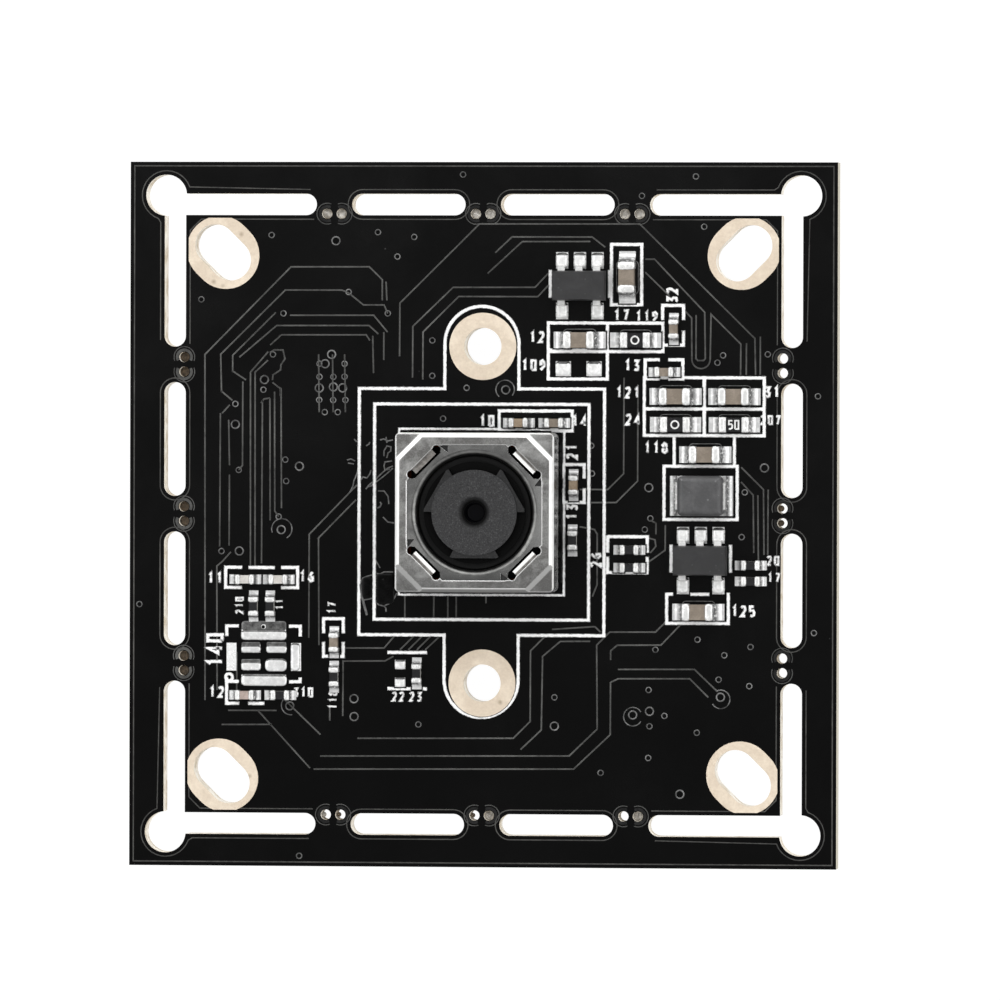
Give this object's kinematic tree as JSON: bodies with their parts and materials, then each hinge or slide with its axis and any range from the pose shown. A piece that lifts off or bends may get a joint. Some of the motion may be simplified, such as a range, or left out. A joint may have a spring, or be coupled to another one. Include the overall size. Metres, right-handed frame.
{
  "type": "autofocus camera module",
  "caption": "Square black circuit board with break-off rails, carrying an autofocus lens module in a pressed metal can, with small supply parts beside it.",
  "frame": {"origin": "centre of the circuit board's back face, midway between the four oblong mounting holes", "axes": "+Z through the board and out of the lens, +X towards the side with the regulators and inductor, +Y towards the side with the upper regulator"},
  "size_m": [0.038, 0.0378, 0.0089],
  "materials": {
    "board": "glossy black solder mask",
    "tinned_copper": "bright tinned",
    "solder": "bright",
    "white_ink": "matt",
    "sensor_glass": "glossy",
    "black_plastic": "matt moulded",
    "filter_glass": "polished, coated",
    "contact_metal": "bright",
    "can_metal": "satin pressed",
    "magnet": "nickel plated",
    "spring_metal": "bright sheet",
    "copper_wire": "enamelled windings",
    "barrel_plastic": "fine sparkle grain",
    "lens_glass": "polished, coated",
    "black_glue": "glossy cured",
    "mould_compound": "matt moulded",
    "ferrite": "satin",
    "capacitor_ceramic": "satin ceramic",
    "resistor_body": "glazed",
    "crystal_metal": "satin lid",
    "ivory_plastic": "satin moulded"
  },
  "bodies": {
    "board": {"circuit_board": "board", "plated_lands": "tinned_copper", "bare_pads": "tinned_copper", "solder_joints": "solder", "board_legend": "white_ink", "image_sensor": "sensor_glass", "sensor_housing": "black_plastic", "infrared_filter": "filter_glass", "motor_base": "black_plastic", "motor_terminals": "contact_metal", "motor_can": "can_metal", "motor_magnets": "magnet", "front_spacer": "black_plastic", "front_leaf_spring": "spring_metal", "rear_leaf_spring": "spring_metal", "housing_glue": "black_glue", "upper_regulator": "mould_compound", "lower_regulator": "mould_compound", "power_inductor": "ferrite", "ceramic_capacitor_1": "capacitor_ceramic", "ceramic_capacitor_2": "capacitor_ceramic", "ceramic_capacitor_3": "capacitor_ceramic", "ceramic_capacitor_4": "capacitor_ceramic", "ceramic_capacitor_5": "capacitor_ceramic", "ceramic_capacitor_6": "capacitor_ceramic", "link_resistor_1": "resistor_body", "link_resistor_2": "resistor_body", "link_resistor_3": "resistor_body", "small_capacitor_1": "capacitor_ceramic", "small_capacitor_2": "capacitor_ceramic", "small_capacitor_3": "capacitor_ceramic", "small_capacitor_4": "capacitor_ceramic", "small_capacitor_5": "capacitor_ceramic", "small_capacitor_6": "capacitor_ceramic", "small_capacitor_7": "capacitor_ceramic", "small_capacitor_8": "capacitor_ceramic", "small_capacitor_9": "capacitor_ceramic", "small_resistor_1": "resistor_body", "small_resistor_2": "resistor_body", "small_resistor_3": "resistor_body", "small_resistor_4": "resistor_body", "small_resistor_5": "resistor_body", "small_resistor_6": "resistor_body", "small_resistor_7": "resistor_body", "small_resistor_8": "resistor_body", "small_resistor_9": "resistor_body", "small_resistor_10": "resistor_body", "camera_processor": "mould_compound", "flash_memory": "mould_compound", "clock_crystal": "crystal_metal", "cable_socket": "ivory_plastic", "socket_contacts": "contact_metal", "rear_chip_parts": "capacitor_ceramic"},
    "lens": {"lens_carrier": "black_plastic", "motor_coil": "copper_wire", "lens_barrel": "barrel_plastic", "front_lens": "lens_glass", "middle_lens": "lens_glass", "rear_lens": "lens_glass", "lens_retainer": "black_plastic"}
  },
  "joints": [
    {"name": "focus_travel", "type": "slide", "parent": "board", "child": "lens", "axis": [0, 0, 1], "range_m": [0, 0.0003], "stiffness_N_per_m": 80, "deforming": ["front_leaf_spring", "rear_leaf_spring"]}
  ]
}
